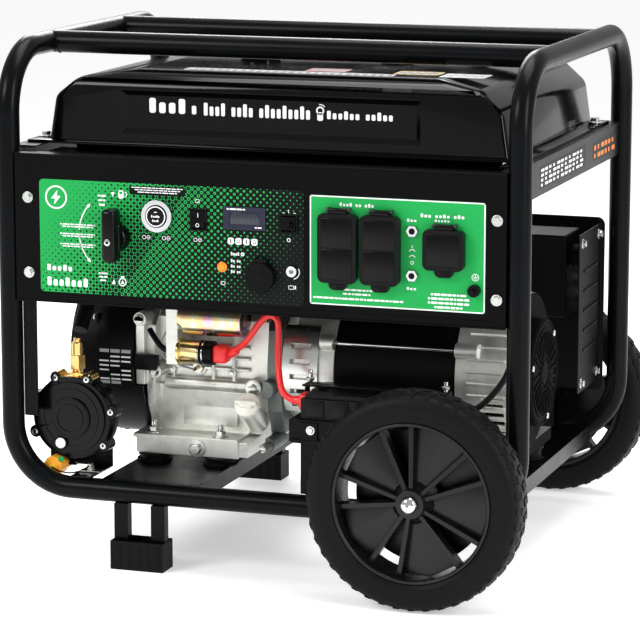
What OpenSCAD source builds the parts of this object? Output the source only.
// Portable generator in an open tube frame, with two wheels and two feet.
// X runs along the control panel, Y from the panel to the back, Z up.
// Modules are drawn in frame coordinates: the middle of the frame in plan,
// with Z = 0 at the centreline of the bottom rails. placed() moves the whole
// object so that its origin is the middle of its box, on the ground.

/* [Frame] */
// Distance between the left and right posts, centre to centre
post_span_x = 747; // [745:0.5:749]
// Distance between the front and rear posts, centre to centre
post_span_y = 584; // [582:0.5:586]
// Height of the top rails above the bottom rails, centre to centre
rail_rise = 623; // [618:1:640]
// Outside diameter of the frame tube
tube_d = 32; // [31:0.5:32.5]
// Wall thickness of the frame tube
tube_wall = 2.5; // [1.5:0.5:4]
// Bend radius of the frame tube at its centreline
bend_r = 90; // [70:1:100]

/* [Stance] */
// Height of the bottom rails' centreline above the ground
rail_height = 110; // [108:1:112]
// Place of the axle along the frame
axle_x = 254; // [244:1:258]
// Distance from the middle of the frame to the middle of each wheel
wheel_y = 370; // [369:1:380]
// Outside radius of the tyre
wheel_r = 152; // [148:1:156]
// Width of the tyre
wheel_w = 64; // [54:1:66]
// Place of the front foot along the frame
front_foot_x = -178; // [-200:1:-160]
// Place of the rear foot along the frame
rear_foot_x = -207; // [-220:1:-160]

/* [Engine and alternator] */
// Distance of the crankshaft behind the middle of the frame
shaft_y = -45; // [-46:1:-44]
// Height of the crankshaft above the bottom rails
shaft_z = 161; // [160:1:162]
// Outside radius of the alternator
alternator_r = 112; // [110:1:113]
// Lean of the cylinder above the level
cylinder_lean = 25; // [23:1:27]

/* [Tank] */
// Height of the tank's flange above the bottom rails
tank_z = 490; // [489:1:492]
// Height of the tank's top above its flange
tank_rise = 103; // [98:1:108]
// Thickness of the tank's sheet
tank_wall = 1.5; // [1:0.5:3]

/* [Control panel] */
// Front face of the panel, ahead of the middle of the frame
panel_y = -306; // [-306:1:-305]
// Lower edge of the panel
panel_z0 = 270; // [268:1:272]
// Upper edge of the panel
panel_z1 = 481; // [478:1:483]
// Radius of each cover's hinge pin
hinge_pin_r = 1.5; // [1.2:0.1:1.6]

/* [Hidden] */
$fn = 64;

hx = post_span_x / 2;
hy = post_span_y / 2;
tube_r = tube_d / 2;
wheel_z = wheel_r - rail_height;
tyre_outer_x = axle_x + wheel_r;
frame_outer_x = hx + tube_r;
shift_x = (frame_outer_x - tyre_outer_x) / 2;
run_gap = 0.05;
axle_r = 8;
hub_r = 112;
foot_xs = [front_foot_x, rear_foot_x];
crank_front = -166;
mount_xs = [-213, -110];
mount_ys = [-150, 83];
panel_bolts = [[-339, 418.6], [-338.5, 311.5], [346, 418.2], [346, 310]];
steel_black = [0.09, 0.09, 0.1];
cast_grey = [0.72, 0.71, 0.67];
zinc = [0.78, 0.83, 0.84];
panel_green = [0.15, 0.65, 0.32];
plastic_black = [0.06, 0.06, 0.06];
signal_red = [0.93, 0.17, 0.17];

// Places on the panel, each [x, z], and sizes, each [width, height]
knob_at = [-203, 368.5];
start_at = [-142, 401.5];
switch_at = [-81, 399];
switch_size = [25.5, 31];
display_at = [-13.5, 404];
display_size = [62, 32];
breaker_at = [51, 399.5];
breaker_size = [27, 27];
lamp_at = [-47, 334.5];
usb_at = [10.5, 324];
charger_at = [55.5, 334];
duplex_x = [124.3, 184.8];
duplex_z = 371;
duplex_size = [56, 96];
twist_at = [274.7, 376];
twist_size = [58, 56];
button_at = [[228, 398.5], [228, 337.5]];
ground_at = [316, 322];
label_left = [[-321, 72], [285.5, 445.6]];
label_right = [[81, 330], [290.4, 441.3]];
label_t = 0.8;
plate_t = 2;
label_y = panel_y - label_t;
lid_t = 11;
lid_gap = 0.5;
seat_t = 4;
spindle_r = 6.2;
lid_y = label_y - seat_t - lid_gap;
hinge_z_rise = 4;

// Routes of the battery leads, the starter lead and the gas hose
lead_to_starter = [[46, -237, 138], [30, -236, 138], [12, -226, 148], [2, -212, 172], [-2, -204, 200],
    [-2, -202, 226], [-4, -202, 244], [-16, -203, 250], [-30, -203, 238], [-46, -200, 217], [-62, -192, 201],
    [-80, -184, 191], [-92, -182, 186]];
battery_boot = [[46, 57], [-250, -224], [127, 149]];
starter_boot = [[-106, -84], [-194, -170], [174, 198]];
hose_route = [[-302, -214, 214], [-302, -190, 244], [-302, -164, 284], [-290, -130, 318], [-264, -84, 332],
    [-228, -40, 326], [-203, -10, 306], [-196, 12, 289]];

module placed() {
    translate([shift_x, 0, rail_height]) children();
}

// Solid box between limits
module slab(x, y, z) {
    translate([x[0], y[0], z[0]]) cube([x[1] - x[0], y[1] - y[0], z[1] - z[0]]);
}

module rod_x(p, h, r) {
    translate(p) rotate([0, 90, 0]) cylinder(h = h, r = r);
}

module rod_y(p, h, r) {
    translate(p) rotate([-90, 0, 0]) cylinder(h = h, r = r);
}

module rod_z(p, h, r) {
    translate(p) cylinder(h = h, r = r);
}

module round_rect(size, r) {
    square([size[0] - 2 * r, size[1]], center = true);
    square([size[0], size[1] - 2 * r], center = true);
    for (sx = [-1, 1], sz = [-1, 1])
        translate([sx * (size[0] / 2 - r), sz * (size[1] / 2 - r)]) circle(r = r);
}

// Plate in the plane of the panel, from y0 back to y1
module face_plate(at, size, r, y0, y1) {
    translate([at[0], y1, at[1]]) rotate([90, 0, 0]) linear_extrude(y1 - y0) round_rect(size, r);
}

// Hexagon-headed fastener along -Y: washer, head and a recess
module bolt_front(at, y, head_r = 6, head_t = 5, washer_r = 8) {
    rod_y([at[0], y - 1.5, at[1]], 1.5, washer_r);
    translate([at[0], y - 1.5 - head_t, at[1]]) rotate([-90, 0, 0])
        cylinder(h = head_t, r = head_r, $fn = 6);
}

// Hexagon-headed fastener standing up on a face at z
module bolt_up(p, head_r = 8, head_t = 7, washer_r = 11) {
    rod_z(p, 2, washer_r);
    translate([p[0], p[1], p[2] + 2]) cylinder(h = head_t, r = head_r, $fn = 6);
}

// ---------------------------------------------------------------- frame

module tube_run(p, turn, h) {
    translate(p) rotate(turn) linear_extrude(h) difference() {
        circle(r = tube_r);
        circle(r = tube_r - tube_wall);
    }
}

// Quarter bend about the Z axis of its own frame, starting on +X
module tube_bend() {
    rotate_extrude(angle = 90) translate([bend_r, 0]) difference() {
        circle(r = tube_r);
        circle(r = tube_r - tube_wall);
    }
}

// One bent tube: half of each top rail, two posts and one bottom rail
module frame_tube() {
    post_h = rail_rise - 2 * bend_r;
    color(steel_black) for (s = [-1, 1]) {
        tube_run([s * hx, -hy + bend_r, rail_rise], [-90, 0, 0], hy - bend_r);
        translate([s * hx, -hy + bend_r, rail_rise - bend_r]) rotate([0, -90, 0])
            rotate([0, 0, -90]) tube_bend();
        tube_run([s * hx, -hy, bend_r], [0, 0, 0], post_h);
        translate([s * (hx - bend_r), -hy, bend_r]) rotate([90, 0, 0])
            rotate([0, 0, s > 0 ? -90 : 180]) tube_bend();
    }
    color(steel_black) tube_run([-hx + bend_r, -hy, 0], [0, 90, 0], 2 * (hx - bend_r));
}

module front_frame_tube() {
    frame_tube();
}

module rear_frame_tube() {
    mirror([0, 1, 0]) frame_tube();
}

module top_cross_tubes() {
    color(steel_black) difference() {
        for (y = [-141, 125]) tube_run([-hx, y, rail_rise], [0, 90, 0], 2 * hx);
        for (s = [-1, 1]) rod_y([s * hx, -hy, rail_rise], 2 * hy, tube_r + 0.05);
    }
}

// Folded channel across the bottom rails, coped around them
module cross_channel(x0, x1, reach) {
    difference() {
        slab([x0, x1], [-reach, reach], [-8, 16]);
        slab([x0 + 3, x1 - 3], [-reach - 1, reach + 1], [-9, 13]);
        for (s = [-1, 1]) rod_x([x0 - 1, s * hy, 0], x1 - x0 + 2, tube_r + 0.1);
    }
}

module cross_channels() {
    color(steel_black) {
        cross_channel(-238, -90, hy - 4);
        cross_channel(284, 336, hy - tube_r - 0.3);
    }
}

// Foot bracket: two legs hung from the rail, joined by a shoe
module foot_bracket(x, s) {
    y0 = s * hy;
    foot_z = -rail_height + 16;
    for (side = [-1, 1]) slab([x + side * 28 - 10.5, x + side * 28 + 10.5], [y0 - 8, y0 + 8],
        [foot_z + 4, -tube_r]);
    slab([x - 38.5, x + 38.5], [y0 - 18, y0 + 18], [foot_z, foot_z + 4]);
}

// Saddle over the rail that carries one stub axle
module axle_bracket() {
    difference() {
        union() {
            slab([axle_x - 26, axle_x + 26], [-hy - tube_r - 4, -hy - tube_r], [-tube_r, wheel_z + 24]);
            slab([axle_x - 26, axle_x + 26], [-hy + tube_r, -hy + tube_r + 4], [-tube_r, wheel_z + 24]);
            slab([axle_x - 26, axle_x + 26], [-hy - tube_r, -hy + tube_r], [wheel_z + 20, wheel_z + 24]);
        }
        rod_y([axle_x, -hy - 40, wheel_z], 80, axle_r);
    }
}

// Folded plate on the front rail that carries the gas regulator
module regulator_bracket() {
    slab([-283, -252], [-300, -215], [tube_r, tube_r + 3]);
    slab([-332, -252], [-218, -215], [tube_r, 132]);
}

// Strip that ties the panel's left end to the front post
module panel_tie() {
    slab([-357, -336], [-290, -287], [100, panel_z0]);
}

module frame_brackets() {
    color(steel_black) {
        foot_bracket(front_foot_x, -1);
        foot_bracket(rear_foot_x, 1);
        axle_bracket();
        mirror([0, 1, 0]) axle_bracket();
        regulator_bracket();
        panel_tie();
    }
}

module foot_pads() {
    base = -rail_height;
    color(plastic_black) for (i = [0, 1]) {
        x = foot_xs[i];
        y0 = (i == 0 ? -1 : 1) * hy;
        difference() {
            slab([x - 40, x + 40], [y0 - 20, y0 + 20], [base, base + 42]);
            slab([x - 38.5, x + 38.5], [y0 - 18, y0 + 18], [base + 16, base + 43]);
        }
    }
}

module engine_mounts() {
    color(plastic_black) {
        for (x = mount_xs, y = mount_ys) {
            rod_z([x, y, 16], 3, 26);
            rod_z([x, y, 19], 5, 20);
            rod_z([x, y, 24], 4, 24);
        }
        for (y = [-120, 30]) {
            rod_z([306, y, 16], 4, 20);
            rod_z([306, y, 20], 12, 17);
            rod_z([306, y, 32], 4, 20);
        }
    }
}

// ---------------------------------------------------------------- wheels

module stub_axle() {
    rod_y([axle_x, -wheel_y - wheel_w / 2 - 4, wheel_z], wheel_w + 62, axle_r);
    rod_y([axle_x, -hy - tube_r - 12, wheel_z], 8, 14);
    translate([axle_x, -wheel_y - wheel_w / 2 - 1, wheel_z]) rotate([90, 0, 0])
        rotate_extrude() polygon([[0, 0], [12, 0], [11.6, 3.5], [9.5, 6.6], [6, 8.6], [0, 9.5]]);
}

module stub_axles() {
    color(zinc) {
        stub_axle();
        mirror([0, 1, 0]) stub_axle();
    }
}

// Outline of the moulded hub, radius against distance along the axle
module wheel_hub(y) {
    w = wheel_w / 2;
    color(plastic_black) translate([axle_x, y, wheel_z]) rotate([90, 0, 0]) difference() {
        union() {
            translate([0, 0, -w + 3]) linear_extrude(wheel_w - 6) difference() {
                circle(r = hub_r);
                circle(r = hub_r - 4);
            }
            translate([0, 0, -w]) cylinder(h = wheel_w, r = 17);
            translate([0, 0, 4]) cylinder(h = 4, r = hub_r - 2);
            for (k = [0:4]) for (side = [-1, 1]) rotate([0, 0, 211.5 + 72 * k + side * 24])
                translate([14, -3.5, 4]) cube([hub_r - 16, 7, 16]);
        }
        translate([0, 0, -w - 1]) cylinder(h = wheel_w + 2, r = axle_r + run_gap);
        for (k = [0:4]) rotate([0, 0, 175.5 + 72 * k]) translate([0, 0, 3])
            linear_extrude(6) polygon([[46, -6.5], [hub_r - 8, -17], [hub_r - 8, 17], [46, 6.5]]);
    }
}

module wheel_tyre(y) {
    w = wheel_w / 2;
    color([0.07, 0.07, 0.07]) translate([axle_x, y, wheel_z]) rotate([90, 0, 0])
        rotate_extrude($fn = 96) polygon([[hub_r + 0.05, -w + 4], [hub_r + 5, -w], [wheel_r - 14, -w],
            [wheel_r - 4, -w + 7], [wheel_r, -w + 16], [wheel_r, w - 16], [wheel_r - 4, w - 7],
            [wheel_r - 14, w], [hub_r + 5, w], [hub_r + 0.05, w - 4]]);
}

module front_wheel_hub() {
    wheel_hub(-wheel_y);
}

module front_tyre() {
    wheel_tyre(-wheel_y);
}

module rear_wheel_hub() {
    mirror([0, 1, 0]) wheel_hub(-wheel_y);
}

module rear_tyre() {
    wheel_tyre(wheel_y);
}

// ---------------------------------------------------------------- tank

module tank_rails() {
    color(steel_black) for (s = [-1, 1]) mirror([s > 0 ? 0 : 1, 0, 0]) {
        slab([hx - 1, hx + 2], [-hy + tube_r, hy - tube_r], [tank_z - 52, tank_z - 2]);
        slab([hx - 34, hx - 1], [-hy + tube_r, hy - tube_r], [tank_z - 5, tank_z - 2]);
    }
}

// Tank body: a side outline and an end outline, crossed, grown inwards by wall
module tank_form(wall) {
    top = tank_z + tank_rise - wall;
    low = tank_z - 1;
    intersection() {
        translate([0, 240, 0]) rotate([90, 0, 0]) linear_extrude(480) polygon([
            [-338 + wall, low], [-327 + wall, tank_z + 66], [-292 + wall, top - 10], [-215, top],
            [230, top], [300 - wall, top - 12], [333 - wall, tank_z + 62], [342 - wall, low]]);
        translate([-360, 0, 0]) rotate([90, 0, 90]) linear_extrude(720) polygon([
            [-236 + wall, low], [-231 + wall, tank_z + 70], [-208 + wall, top - 4], [-190, top],
            [190, top], [208 - wall, top - 4], [231 - wall, tank_z + 70], [236 - wall, low]]);
    }
}

module tank_upper_shell() {
    color([0.03, 0.03, 0.03]) difference() {
        union() {
            intersection() {
                tank_form(0);
                slab([-400, 400], [-300, 300], [tank_z, tank_z + 200]);
            }
            slab([-366, 366], [-244, 244], [tank_z, tank_z + 2.5]);
            rod_z([-100, 0, tank_z + tank_rise - 1], 9, 29);
        }
        intersection() {
            tank_form(tank_wall);
            slab([-400, 400], [-300, 300], [tank_z - 1, tank_z + 200]);
        }
        slab([-198, 206], [-245, -229], [tank_z + 16, tank_z + 68]);
        rod_z([-100, 0, tank_z + 50], 80, 24);
        rod_z([110, 0, tank_z + 50], 80, 17);
        for (sx = [-1, 1], sy = [-1, 1]) rod_z([sx * 354, sy * 205, tank_z - 1], 5, 4.5);
    }
    color([0.03, 0.03, 0.03]) difference() {
        slab([-204, 212], [-231, -227], [tank_z + 10, tank_z + 74]);
        slab([-198, 206], [-233, -229], [tank_z + 16, tank_z + 68]);
    }
}

module tank_lower_shell() {
    drop = 62;
    color([0.03, 0.03, 0.03]) difference() {
        union() {
            slab([-366, 366], [-244, 244], [tank_z - 2, tank_z]);
            translate([0, 240, 0]) rotate([90, 0, 0]) linear_extrude(420) polygon([
                [-322, tank_z - 1], [-300, tank_z - drop], [300, tank_z - drop], [322, tank_z - 1]]);
        }
        translate([0, 240 - tank_wall, 0]) rotate([90, 0, 0])
            linear_extrude(420 - 2 * tank_wall) polygon([
            [-322 + tank_wall, tank_z + 1], [-300 + tank_wall, tank_z - drop + tank_wall],
            [300 - tank_wall, tank_z - drop + tank_wall], [322 - tank_wall, tank_z + 1]]);
        for (sx = [-1, 1], sy = [-1, 1]) rod_z([sx * 354, sy * 205, tank_z - 3], 5, 4.5);
    }
}

module fuel_cap() {
    top = tank_z + tank_rise + 8;
    color(plastic_black) {
        translate([-100, 0, top + 0.4]) linear_extrude(15) difference() {
            circle(r = 33);
            for (a = [0:20:340]) rotate([0, 0, a]) translate([34.5, 0]) circle(r = 3, $fn = 24);
        }
        rod_z([-100, 0, top - 16], 17, 23);
    }
}

module fuel_gauge() {
    top = tank_z + tank_rise;
    color(plastic_black) {
        rod_z([110, 0, top], 4, 24);
        rod_z([110, 0, top + 4], 3, 19);
        rod_z([110, 0, top - 12], 12, 16.5);
    }
}

// ---------------------------------------------------------------- fasteners

module fasteners() {
    color(zinc) {
        for (at = panel_bolts) bolt_front(at, panel_y);
        for (sx = [-1, 1], sy = [-1, 1]) bolt_up([sx * 354, sy * 205, tank_z + 2.5], 7, 6, 10);
        for (x = mount_xs, y = mount_ys) bolt_up([x, y, 56]);
        rod_y([-141, crank_front - 2.5, 40], 2.5, 13);
        translate([-141, crank_front - 10.5, 40]) rotate([-90, 0, 0]) cylinder(h = 8, r = 8, $fn = 6);
        for (i = [0, 1]) {
            y0 = (i == 0 ? -1 : 1) * hy;
            translate([foot_xs[i], y0, -rail_height + 20]) cylinder(h = 6, r = 6, $fn = 6);
        }
        for (a = through_angles()) {
            p = through_at(a);
            rod_x([65.2, p[0], p[1]], 179.6, 2.4);
        }
        bolt_up([-268, -262, tube_r + 3], 6, 5, 9);
        bolt_front([75, 107.5], -287, 4.5, 2.5, 6.5);
    }
}

function through_angles() = [157, 247, 337, 67];
function through_at(a) = [shaft_y + 116 * cos(a), shaft_z + 116 * sin(a)];

// ---------------------------------------------------------------- panel

// Everything that passes through the panel, grown by grow
module panel_openings(grow) {
    y0 = panel_y - 4;
    y1 = panel_y + 40;
    rod_y([knob_at[0], y0, knob_at[1]], y1 - y0, 6 + grow);
    rod_y([start_at[0], y0, start_at[1]], y1 - y0, 19 + grow);
    face_plate(switch_at, [switch_size[0] - 3 + 2 * grow, switch_size[1] - 3 + 2 * grow], 1, y0, y1);
    face_plate(display_at, [display_size[0] - 8 + 2 * grow, display_size[1] - 8 + 2 * grow], 2, y0, y1);
    face_plate(breaker_at, [breaker_size[0] - 3 + 2 * grow, breaker_size[1] - 3 + 2 * grow], 1, y0, y1);
    rod_y([lamp_at[0], y0, lamp_at[1]], y1 - y0, 5 + grow);
    rod_y([usb_at[0], y0, usb_at[1]], y1 - y0, 14 + grow);
    rod_y([charger_at[0], y0, charger_at[1]], y1 - y0, 5 + grow);
    for (x = duplex_x) face_plate([x, duplex_z], [46 + 2 * grow, 84 + 2 * grow], 4, y0, y1);
    rod_y([twist_at[0], y0, twist_at[1]], y1 - y0, 23 + grow);
    for (at = button_at) rod_y([at[0], y0, at[1]], y1 - y0, 6 + grow);
    rod_y([ground_at[0], y0, ground_at[1]], y1 - y0, 3 + grow);
}

module control_panel() {
    x_in = hx - tube_r - 1;
    color(steel_black) difference() {
        union() {
            slab([-359, 359], [panel_y, panel_y + plate_t], [panel_z0, panel_z1]);
            slab([-x_in, x_in], [panel_y + plate_t, panel_y + 24], [panel_z1 - 2, panel_z1]);
            slab([-x_in, x_in], [panel_y + plate_t, panel_y + 24], [panel_z0, panel_z0 + 2]);
            for (s = [-1, 1]) slab([s * x_in - 1, s * x_in + 1], [panel_y + plate_t, panel_y + 24],
                [panel_z0, panel_z1]);
        }
        panel_openings(0.3);
        for (at = panel_bolts)
            rod_y([at[0], panel_y - 2, at[1]], 8, 3);
    }
}

module control_box() {
    color(steel_black) difference() {
        slab([-335, 335], [panel_y + plate_t, -196], [panel_z0 + 4, panel_z1 - 4]);
        slab([-333, 333], [panel_y + plate_t - 1, -198], [panel_z0 + 6, panel_z1 - 6]);
        for (x = [-240:40:240]) slab([x, x + 24], [-200, -190], [panel_z0 + 130, panel_z0 + 138]);
        for (x = [-240:40:240]) slab([x, x + 24], [-200, -190], [panel_z0 + 150, panel_z0 + 158]);
    }
}

module label_plate(limits) {
    size = [limits[0][1] - limits[0][0], limits[1][1] - limits[1][0]];
    at = [(limits[0][1] + limits[0][0]) / 2, (limits[1][1] + limits[1][0]) / 2];
    difference() {
        face_plate(at, size, 6, label_y, panel_y);
        panel_openings(0.3);
    }
}

module label_plates() {
    color(panel_green) {
        label_plate(label_left);
        label_plate(label_right);
    }
}

module fuel_selector_knob() {
    color(plastic_black) {
        face_plate([knob_at[0], knob_at[1] + 4], [25, 76], 12, label_y - 38, label_y - 16);
        rod_y([knob_at[0], label_y - 16, knob_at[1]], 15.6, 20);
        rod_y([knob_at[0], label_y - 0.6, knob_at[1]], 24, spindle_r);
    }
}

module start_button() {
    color(plastic_black) rod_y([start_at[0], label_y - 9, start_at[1]], 22, 15.9);
}

module panel_bezels() {
    color(zinc) {
        difference() {
            union() {
                rod_y([start_at[0], label_y - 7, start_at[1]], 7, 22.5);
                rod_y([start_at[0], label_y, start_at[1]], 20, 19);
            }
            rod_y([start_at[0], label_y - 8, start_at[1]], 32, 16);
        }
        for (at = button_at) difference() {
            union() {
                translate([at[0], label_y - 5, at[1]]) rotate([-90, 0, 0]) cylinder(h = 5, r = 8.4, $fn = 6);
                rod_y([at[0], label_y, at[1]], 22, 6);
            }
            rod_y([at[0], label_y - 6, at[1]], 30, 4.1);
        }
        difference() {
            union() {
                rod_y([charger_at[0], panel_y - 5 - label_t, charger_at[1]], 5, 7.5);
                rod_y([charger_at[0], label_y, charger_at[1]], 16, 5);
            }
            rod_y([charger_at[0], label_y - 6, charger_at[1]], 10, 3.2);
        }
    }
    color(plastic_black) for (spec = [[switch_at, switch_size], [breaker_at, breaker_size]]) difference() {
        union() {
            face_plate(spec[0], spec[1], 2, label_y - 3, label_y);
            face_plate(spec[0], spec[1] - [3, 3], 1, label_y, label_y + 16);
        }
        face_plate(spec[0], spec[1] - [6, 5], 1, label_y - 4, label_y + 20);
    }
}

// Rocker turned about a pivot behind the panel; its face is a shallow V
module rocker(at, size, tilt) {
    r = size[1] / 2 - 3;
    translate([at[0] - size[0] / 2 + 3.4, label_y + 2, at[1]]) rotate([tilt, 0, 0])
        rotate([90, 0, 90]) linear_extrude(size[0] - 6.8) intersection() {
            circle(r = r);
            polygon([[-8.5, -20], [-5.5, 0], [-8.5, 20], [12, 20], [12, -20]]);
        }
}

module run_switch() {
    color(plastic_black) rocker(switch_at, switch_size, -10);
}

module main_breaker() {
    color(plastic_black) {
        rocker(breaker_at, breaker_size, -10);
        translate([breaker_at[0], label_y + 2, breaker_at[1]]) rotate([-10, 0, 0])
            slab([-5, 5], [-16, -5], [-3, 3]);
    }
}

module meter_display() {
    color([0.12, 0.14, 0.2]) difference() {
        union() {
            face_plate(display_at, display_size, 2, label_y - 3, label_y);
            face_plate(display_at, display_size - [8, 8], 2, label_y, label_y + 14);
        }
        face_plate(display_at, [44, 18], 1, label_y - 4, label_y - 1.5);
    }
}

module indicator_lamp() {
    color([0.95, 0.45, 0.1]) {
        translate([lamp_at[0], label_y, lamp_at[1]]) rotate([90, 0, 0])
            rotate_extrude() polygon([[0, 0], [7, 0], [7, 1.5], [5.6, 2], [5.2, 4.5], [3.4, 6.3], [0, 7]]);
        rod_y([lamp_at[0], label_y, lamp_at[1]], 16, 5);
    }
}

module usb_socket() {
    color(plastic_black) {
        difference() {
            union() {
                rod_y([usb_at[0], label_y - 4, usb_at[1]], 4, 20);
                rod_y([usb_at[0], label_y, usb_at[1]], 24, 14);
            }
            for (z = [-4.5, 4.5]) slab([usb_at[0] - 6.5, usb_at[0] + 6.5], [label_y - 5, label_y + 12],
                [usb_at[1] + z - 1.8, usb_at[1] + z + 1.8]);
        }
        for (s = [-1, 1]) slab([usb_at[0] + s * 8 - 2, usb_at[0] + s * 8 + 2], [label_y - 9, label_y],
            [usb_at[1] + 20.9, usb_at[1] + 26]);
        rod_x([usb_at[0] - 8, label_y - 6.5, usb_at[1] + 23.5], 16, hinge_pin_r);
    }
}

module usb_cover() {
    color(plastic_black) difference() {
        union() {
            rod_y([usb_at[0], label_y - 11, usb_at[1]], 6.5, 20.4);
            slab([usb_at[0] - 5.6, usb_at[0] + 5.6], [label_y - 9.2, label_y - 4.5], [usb_at[1] + 12, usb_at[1] + 22]);
            rod_x([usb_at[0] - 5.6, label_y - 6.5, usb_at[1] + 23.5], 11.2, 3);
            slab([usb_at[0] - 6, usb_at[0] + 6], [label_y - 9, label_y - 6.5], [usb_at[1] - 24, usb_at[1] - 18]);
        }
        rod_x([usb_at[0] - 9, label_y - 6.5, usb_at[1] + 23.5], 18, hinge_pin_r + run_gap);
    }
}

// Hinge lugs and pin above an outlet seat; z is the pin's height
module hinge_seat(x, z, w) {
    for (s = [-1, 1]) {
        x0 = x + s * (w / 2 + 2.5) - 2;
        rod_x([x0, lid_y - 2, z], 4, 3);
        slab([x0, x0 + 4], [lid_y - 2, label_y], [z - 2.5, z + 3]);
    }
    rod_x([x - w / 2 - 3, lid_y - 2, z], w + 6, hinge_pin_r);
}

module lid_hinge(x, z, w) {
    slab([x - w / 2, x + w / 2], [lid_y - 4.5, lid_y - 0.3], [z - 9, z]);
    rod_x([x - w / 2, lid_y - 2, z], w, 3);
}

// Spring cover over one outlet, with a finger tab below
module outlet_lid(at, size, pull_w, pull_h) {
    pin_z = at[1] + size[1] / 2 + hinge_z_rise;
    difference() {
        union() {
            face_plate(at, size, 9, lid_y - lid_t, lid_y);
            lid_hinge(at[0], pin_z, 24);
            face_plate([at[0], at[1] - size[1] / 2 - pull_h / 2 + 6], [pull_w, pull_h + 12], 8,
                lid_y - 6, lid_y - 1);
        }
        face_plate(at, size - [6, 6], 7, lid_y - 3.4, lid_y + 1);
        rod_x([at[0] - 16, lid_y - 2, pin_z], 32, hinge_pin_r + run_gap);
    }
}

module outlet_sockets() {
    color(plastic_black) {
        for (x = duplex_x) {
            difference() {
                union() {
                    face_plate([x, duplex_z], duplex_size - [2, 2], 8, label_y - seat_t, label_y);
                    face_plate([x, duplex_z], [46, 84], 4, label_y, label_y + 32);
                }
                for (dz = [-20, 20]) {
                    for (s = [-1, 1]) slab([x + s * 6.3 - 1, x + s * 6.3 + 1], [label_y - 5, label_y + 14],
                        [duplex_z + dz - 2, duplex_z + dz + 6]);
                    rod_y([x, label_y - 5, duplex_z + dz - 8], 18, 1.9);
                }
            }
            hinge_seat(x, duplex_z + duplex_size[1] / 2 + hinge_z_rise, 24.6);
        }
        difference() {
            union() {
                face_plate(twist_at, twist_size - [2, 2], 8, label_y - seat_t, label_y);
                rod_y([twist_at[0], label_y, twist_at[1]], 42, 23);
            }
            for (a = [0, 90, 180, 270]) translate([twist_at[0], label_y - 5, twist_at[1]]) rotate([-90, 0, 0])
                rotate([0, 0, a]) rotate_extrude(angle = 42) translate([12, 0]) square([2.4, 20]);
        }
        hinge_seat(twist_at[0], twist_at[1] + twist_size[1] / 2 + hinge_z_rise, 24.6);
    }
}

module left_outlet_cover() {
    color(plastic_black) outlet_lid([duplex_x[0], duplex_z], duplex_size, 27, 10);
}

module right_outlet_cover() {
    color(plastic_black) outlet_lid([duplex_x[1], duplex_z], duplex_size, 27, 10);
}

module twist_outlet_cover() {
    color(plastic_black) outlet_lid(twist_at, twist_size, 27, 10);
}

module breaker_button(at) {
    color(plastic_black) rod_y([at[0], label_y - 6.5, at[1]], 22, 4);
}

module upper_breaker_button() {
    breaker_button(button_at[0]);
}

module lower_breaker_button() {
    breaker_button(button_at[1]);
}

module ground_terminal() {
    color(plastic_black) {
        rod_y([ground_at[0], label_y - 18, ground_at[1]], 36, 3);
        translate([ground_at[0], label_y - 10, ground_at[1]]) rotate([-90, 0, 0]) linear_extrude(10)
            difference() {
                circle(r = 8.4);
                circle(r = 2.9);
                for (a = [0:24:336]) rotate([0, 0, a]) translate([8.9, 0]) circle(r = 1, $fn = 16);
            }
    }
}

// ---------------------------------------------------------------- engine

crank_x = [-225, -42];

// Round stretch of the inclined oil filler, from one length along it to another
module oil_neck(from, to, r) {
    translate([-59, -128, 74]) rotate([52, 0, 0]) translate([0, 0, from]) cylinder(h = to - from, r = r);
}

module crankcase() {
    color(cast_grey) difference() {
        union() {
            // base plate with its turned-down front edge
            slab([-241, -78], [crank_front, 98], [50, 56]);
            slab([-236, -78], [crank_front, crank_front + 7], [28, 50]);
            slab([-236, -78], [91, 98], [28, 50]);
            for (x = mount_xs, y = mount_ys) rod_z([x, y, 28], 24, 14);
            slab([-78, -64], [crank_front + 4, 80], [30, 52]);
            // box of the crankcase with a leaning front wall
            translate([crank_x[0] + 12, 0, 0]) rotate([90, 0, 90]) linear_extrude(crank_x[1] - crank_x[0] - 12)
                polygon([[-118, 56], [-128, 92], [-134, 126], [-130, 128], [-130, 226], [-96, 252],
                    [44, 252], [70, 226], [78, 120], [70, 56]]);
            // bearing wall at the blower side
            translate([crank_x[0], 0, 0]) rotate([90, 0, 90]) linear_extrude(14)
                polygon([[-124, 56], [-146, 96], [-152, 150], [-146, 214], [-110, 254], [30, 254],
                    [70, 226], [78, 120], [70, 56]]);
            // cast ribs over the upper front
            for (z = [136, 152, 168, 184]) slab([-200, -70], [-137, -129], [z, z + 4]);
            for (x = [-190, -128, -96]) slab([x, x + 5], [-139, -129], [128, 214]);
            rod_x([-200, -134, 130], 150, 9);
            // arm with two screw bosses
            slab([-237, -224], [-160, -140], [128, 232]);
            for (p = [[-228, 226], [-205, 150]]) rod_y([p[0], -168, p[1]], 34, 10);
            oil_neck(0, 56, 15);
        }
        oil_neck(8, 60, 11);
        translate([crank_x[0] + 22, 0, 0]) rotate([90, 0, 90]) linear_extrude(crank_x[1] - crank_x[0] - 21)
            polygon([[-108, 62], [-122, 126], [-122, 222], [-92, 246], [40, 246], [62, 222], [70, 120],
                [62, 62]]);
        rod_x([crank_x[0] - 20, shaft_y, shaft_z], 60, 17.6);
        translate([-125, 60, 190]) rotate([-90 + cylinder_lean, 0, 0]) translate([0, 0, -20]) cylinder(h = 90, r = 46);
    }
    color([0.25, 0.25, 0.26]) for (p = [[-228, 226], [-205, 150]]) difference() {
        rod_y([p[0], -172, p[1]], 4, 7);
        slab([p[0] - 6, p[0] + 6], [-173, -170.5], [p[1] - 1, p[1] + 1]);
    }
    color(zinc) {
        rod_y([-149, -134, 154], 4, 12);
        translate([-149, -142, 154]) rotate([-90, 0, 0]) cylinder(h = 8.5, r = 9, $fn = 6);
    }
}

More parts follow.
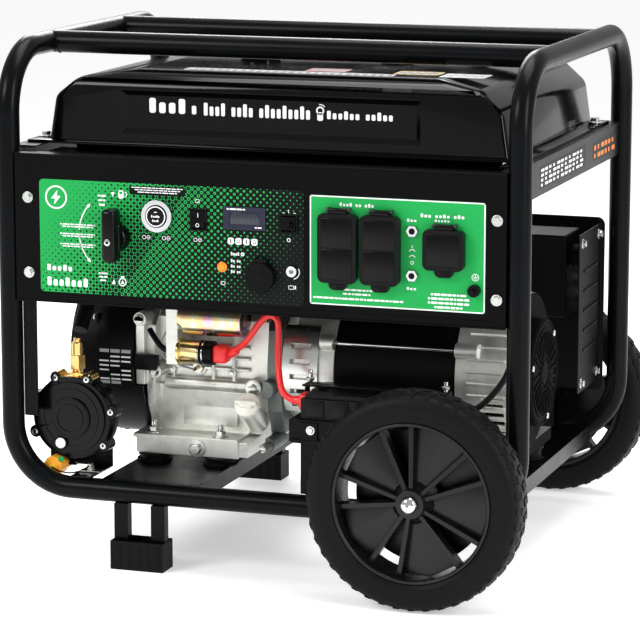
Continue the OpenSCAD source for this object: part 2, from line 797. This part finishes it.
module crankcase_cover() {
    x0 = crank_x[1];
    color(cast_grey) difference() {
        union() {
            translate([x0 + 0.2, 0, 0]) rotate([90, 0, 90]) linear_extrude(22)
                polygon([[-120, 62], [-136, 96], [-140, 160], [-132, 214], [-100, 244], [40, 244],
                    [64, 222], [72, 120], [62, 62]]);
            rod_y([-38, -160, 132], 30, 13);
            rod_y([-38, -150, 48], 60, 11);
        }
        rod_x([x0 - 4, shaft_y, shaft_z], 60, 17.6);
        slab([-70, x0 + 0.2], [-200, 100], [0, 300]);
    }
}

module oil_cap() {
    color([0.86, 0.87, 0.84]) {
        oil_neck(56.3, 64, 19);
        oil_neck(30, 57, 10.5);
        translate([-59, -128, 74]) rotate([52, 0, 0]) translate([-17, -3.5, 64]) cube([34, 7, 9]);
    }
}

module cylinder_block() {
    lean = -90 + cylinder_lean;
    color(cast_grey) translate([-125, 60, 190]) rotate([lean, 0, 0]) difference() {
        union() {
            translate([0, 0, 22]) cylinder(h = 138, r = 45);
            for (k = [0:8]) translate([-66, -62, 28 + 13 * k]) cube([132, 124, 4]);
            translate([-60, -56, 132]) cube([120, 112, 30]);
            translate([-48, -44, 162]) cube([96, 88, 26]);
        }
        translate([0, 0, 10]) cylinder(h = 120, r = 41);
    }
}

module blower_housing() {
    color(plastic_black) difference() {
        union() {
            rod_x([-296, shaft_y, shaft_z], 70.5, 125);
            rod_x([-340, shaft_y, shaft_z], 44.5, 118);
            slab([-296, -226], [-60, 60], [shaft_z + 60, shaft_z + 150]);
        }
        rod_x([-293, shaft_y, shaft_z], 70, 121);
        rod_x([-337, shaft_y, shaft_z], 50, 114);
        slab([-293, -225], [-57, 57], [shaft_z + 60, shaft_z + 147]);
        for (a = [7.5:15:352.5]) rotate_about_shaft(a) slab([-342, -335], [55, 100], [-3, 3]);
        rod_x([-342, shaft_y, shaft_z + 88], 12, 4);
        // room for the engine's base, its arm and the arm's upper boss
        slab([-242, -225], [-175, 100], [20, 57]);
        slab([-239, -225], [-175, -139], [126, 237]);
    }
}

module rotate_about_shaft(a) {
    translate([0, shaft_y, shaft_z]) rotate([a, 0, 0]) children();
}

module recoil_handle() {
    color(plastic_black) {
        rod_x([-349, shaft_y, shaft_z + 88], 8.5, 9);
        face_plate_x([shaft_y, shaft_z + 88], [84, 18], 8, -360.5, -349);
        rod_x([-341, shaft_y, shaft_z + 88], 112, 3);
    }
}

// Plate square to the X axis
module face_plate_x(at, size, r, x0, x1) {
    translate([x0, at[0], at[1]]) rotate([90, 0, 90]) linear_extrude(x1 - x0) round_rect(size, r);
}

module flywheel() {
    color([0.45, 0.45, 0.46]) {
        difference() {
            rod_x([-288, shaft_y, shaft_z], 38, 80);
            rod_x([-289, shaft_y, shaft_z], 24, 66);
            rod_x([-289, shaft_y, shaft_z], 60, 16);
        }
        rod_x([-300, shaft_y, shaft_z], 340, 16);
        for (x = [-150, -112]) rod_x([x, shaft_y, shaft_z], 14, 58);
    }
}

module starter_motor() {
    color([0.75, 0.7, 0.5]) {
        rod_x([-150, -178, 236], 90, 26);
        rod_x([-158, -178, 236], 8, 22);
        slab([-176, -158], [-196, -139.2], [168, 262]);
    }
    color([0.85, 0.75, 0.3]) rod_x([-158, -182, 186], 32, 17);
    color(plastic_black) rod_x([-126, -182, 186], 20, 17.5);
}

module air_cleaner() {
    color(plastic_black) difference() {
        slab([-250, -110], [110, 190], [312, 396]);
        slab([-246, -114], [114, 186], [316, 392]);
        rod_y([-180, 105, 340], 8, 16);
    }
}

module carburetor() {
    color([0.7, 0.7, 0.68]) {
        difference() {
            union() {
                rod_y([-180, 58, 340], 52, 20);
                rod_z([-180, 84, 296], 30, 22);
                rod_z([-196, 22, 296], 22, 8);
                slab([-201, -178], [12, 76], [303, 324]);
            }
            rod_y([-180, 50, 340], 70, 14);
        }
    }
}

module muffler() {
    color([0.2, 0.2, 0.21]) {
        difference() {
            slab([60, 320], [175, 262], [200, 325]);
            slab([63, 317], [178, 259], [203, 322]);
            rod_x([312, 220, 290], 20, 12);
        }
        difference() {
            rod_x([320, 220, 290], 18, 16);
            rod_x([310, 220, 290], 40, 12);
        }
        rod_x([-20, 216, 262], 80, 16);
    }
}

module heat_shield() {
    color(steel_black) difference() {
        union() {
            face_plate([197, 205], [312, 268], 12, 283, 285.5);
            slab([345, 347.5], [150, 283], [90, 330]);
        }
        for (k = [0:8]) slab([338, 344], [280, 290], [170 + 14 * k, 177 + 14 * k]);
        for (k = [0:11]) for (j = [0:3]) slab([70 + 22 * k, 84 + 22 * k], [280, 290], [220 + 22 * j, 226 + 22 * j]);
    }
}

// ---------------------------------------------------------------- alternator

module bell_outline(r) {
    circle(r = r);
    for (a = through_angles()) translate([116 * cos(a), 116 * sin(a)]) circle(r = 11);
}

module alternator_front_housing() {
    color(cast_grey) translate([0, shaft_y, shaft_z]) rotate([90, 0, 90]) difference() {
        union() {
            translate([0, 0, -19.5]) cylinder(h = 24, r1 = 92, r2 = alternator_r);
            translate([0, 0, 4.5]) cylinder(h = 60.5, r = alternator_r);
            translate([0, 0, 45]) linear_extrude(20) bell_outline(alternator_r);
        }
        translate([0, 0, -16]) cylinder(h = 82, r = 84);
        translate([0, 0, -30]) cylinder(h = 60, r = 30);
        for (s = [0:3]) rotate([0, 0, 20 + 90 * s]) translate([60, -20, 8]) cube([80, 40, 28]);
    }
}

module cooling_guard() {
    color(zinc) translate([0, shaft_y, shaft_z]) rotate([90, 0, 90]) {
        difference() {
            translate([0, 0, -12]) linear_extrude(54) difference() {
                intersection() {
                    circle(r = alternator_r + 4);
                    rotate([0, 0, 180]) translate([0, -66]) square([200, 126]);
                }
                circle(r = alternator_r + 1);
                square([2 * alternator_r * cos(38), 400], center = true);
            }
            for (k = [-2:2]) rotate([0, 0, 183 - 11 * k]) translate([100, -3.5, 0]) cube([30, 7, 30]);
        }
    }
}

module stator() {
    color(plastic_black) translate([0, shaft_y, shaft_z]) rotate([90, 0, 90]) translate([0, 0, 65.2])
        difference() {
            cylinder(h = 179.6, r = alternator_r - 1);
            translate([0, 0, -1]) cylinder(h = 190, r = 76);
        }
}

module rotor() {
    color([0.35, 0.2, 0.12]) {
        difference() {
            rod_x([66, shaft_y, shaft_z], 168, 74);
            rod_x([60, shaft_y, shaft_z], 190, 16);
        }
        rod_x([40.2, shaft_y, shaft_z], 292, 16);
        for (a = [0:30:330]) rotate_about_shaft(a) slab([40.5, 64], [18, 72], [-2, 2]);
    }
}

module alternator_end_housing() {
    color(cast_grey) translate([245, shaft_y, shaft_z]) rotate([90, 0, 90]) difference() {
        union() {
            cylinder(h = 80, r = alternator_r + 2);
            linear_extrude(34) bell_outline(alternator_r + 2);
            translate([-125, -125, 44]) cube([250, 18, 36]);
        }
        translate([0, 0, -1]) cylinder(h = 76, r = alternator_r - 8);
        translate([0, 0, -1]) cylinder(h = 100, r = 17.6);
        for (s = [-1, 1]) for (k = [-3:3]) translate([s > 0 ? 60 : -160, -60 + 13 * k, 40]) cube([100, 6, 30]);
    }
    color(plastic_black) {
        difference() {
            rod_x([325, shaft_y, shaft_z], 20, 78);
            rod_x([324, shaft_y, shaft_z], 16, 74);
        }
    }
}

// ---------------------------------------------------------------- gas and battery

module gas_regulator() {
    at = [-296, 95];
    lug_angles = [11, 67, 113, 156, 203, 322];
    color(plastic_black) {
        difference() {
            union() {
                rod_y([at[0], -262, at[1]], 14, 60);
                rod_y([at[0], -266, at[1]], 4, 52);
                rod_y([at[0], -270, at[1]], 4, 30);
                rod_y([at[0], -248, at[1]], 12, 62);
                rod_y([at[0], -236, at[1]], 18, 46);
                for (a = lug_angles) translate([at[0] + 62 * cos(a), -262, at[1] + 62 * sin(a)])
                    rotate([-90, 0, 0]) cylinder(h = 24, r = 9);
                slab([-306, -286], [-236, -218], [at[1] + 40, 152]);
                rod_y([-321, -262, 24], 40, 12);
                slab([-340, -300], [-240, -226], [19.2, 60]);
            }
            for (a = lug_angles) translate([at[0] + 62 * cos(a), -280, at[1] + 62 * sin(a)])
                rotate([-90, 0, 0]) cylinder(h = 60, r = 2.5);
        }
    }
    color([0.75, 0.55, 0.2]) {
        translate([-301, -227, 152]) cylinder(h = 8, r = 9);
        translate([-301, -227, 160]) cylinder(h = 20, r = 12, $fn = 6);
        translate([-301, -227, 180]) cylinder(h = 18, r = 8.5);
    }
}

module inlet_cap() {
    color([0.98, 0.62, 0.12]) difference() {
        translate([-321, -275.5, 24]) rotate([-90, 0, 0]) linear_extrude(26.5) difference() {
            circle(r = 14.5);
            for (a = [0:36:324]) rotate([0, 0, a]) translate([16.5, 0]) circle(r = 3, $fn = 24);
        }
        rod_y([-321, -262.4, 24], 30, 12.3);
    }
}

module battery() {
    color(plastic_black) {
        slab([57, 243], [-278, -178], [92, 150]);
        slab([62, 238], [-272, -184], [150, 156]);
    }
    color(plastic_black) slab([47, 57], [-203, -184], [128, 148]);
}

module battery_tray() {
    color(steel_black) {
        difference() {
            slab([42, 258], [-284, -172], [89, 121]);
            slab([44, 256], [-282, -170], [91.8, 122]);
        }
        for (x = [60, 192]) slab([x, x + 25], [-287, -284], [tube_r, 118]);
        slab([44, 256], [-222, -206], [157, 160]);
        for (x = [44, 253]) slab([x, x + 3], [-222, -206], [91.8, 160]);
    }
    color(zinc) for (x = [50, 249]) rod_z([x, -214, 160], 14, 3);
}

// Round section swept along a route of points
function unit(v) = v / norm(v);
function route_dir(p, i) = unit(p[min(i + 1, len(p) - 1)] - p[max(i - 1, 0)]);
function side_of(d) = unit(cross(d, abs(d[2]) > 0.9 ? [0, 1, 0] : [0, 0, 1]));
function spline_point(p, i, t) = let (
    a = p[max(i - 1, 0)], b = p[i], c = p[i + 1], d = p[min(i + 2, len(p) - 1)])
    0.5 * ((2 * b) + (c - a) * t + (2 * a - 5 * b + 4 * c - d) * t * t
        + (3 * b - a - 3 * c + d) * t * t * t);
function smooth_route(p, steps) = [
    for (i = [0:len(p) - 2]) for (k = [0:steps - 1]) spline_point(p, i, k / steps), p[len(p) - 1]];

module swept_cord(route, r, sides) {
    p = smooth_route(route, 3);
    n = len(p);
    points = [for (i = [0:n - 1]) let (d = route_dir(p, i), u = side_of(d), v = cross(d, u))
        for (k = [0:sides - 1]) p[i] + r * (cos(360 * k / sides) * u + sin(360 * k / sides) * v)];
    walls = [for (i = [0:n - 2]) for (k = [0:sides - 1]) let (m = (k + 1) % sides)
        [i * sides + k, (i + 1) * sides + k, (i + 1) * sides + m, i * sides + m]];
    caps = [[for (k = [0:sides - 1]) k], [for (k = [sides - 1:-1:0]) (n - 1) * sides + k]];
    polyhedron(points, concat(walls, caps));
}

module gas_hose() {
    color(plastic_black) swept_cord(hose_route, 11, 10);
}

module battery_cables() {
    color(signal_red) {
        swept_cord(lead_to_starter, 4.6, 8);
        slab(battery_boot[0], battery_boot[1], battery_boot[2]);
        slab(starter_boot[0], starter_boot[1], starter_boot[2]);
    }
}

placed() front_frame_tube();
placed() rear_frame_tube();
placed() top_cross_tubes();
placed() cross_channels();
placed() frame_brackets();
placed() foot_pads();
placed() engine_mounts();
placed() stub_axles();
placed() front_wheel_hub();
placed() front_tyre();
placed() rear_wheel_hub();
placed() rear_tyre();
placed() tank_rails();
placed() tank_upper_shell();
placed() tank_lower_shell();
placed() fuel_cap();
placed() fuel_gauge();
placed() fasteners();
placed() control_panel();
placed() control_box();
placed() label_plates();
placed() fuel_selector_knob();
placed() start_button();
placed() panel_bezels();
placed() run_switch();
placed() main_breaker();
placed() meter_display();
placed() indicator_lamp();
placed() usb_socket();
placed() usb_cover();
placed() outlet_sockets();
placed() left_outlet_cover();
placed() right_outlet_cover();
placed() twist_outlet_cover();
placed() upper_breaker_button();
placed() lower_breaker_button();
placed() ground_terminal();
placed() crankcase();
placed() crankcase_cover();
placed() cylinder_block();
placed() blower_housing();
placed() recoil_handle();
placed() flywheel();
placed() starter_motor();
placed() oil_cap();
placed() air_cleaner();
placed() carburetor();
placed() muffler();
placed() heat_shield();
placed() alternator_front_housing();
placed() cooling_guard();
placed() stator();
placed() rotor();
placed() alternator_end_housing();
placed() gas_regulator();
placed() inlet_cap();
placed() gas_hose();
placed() battery();
placed() battery_tray();
placed() battery_cables();
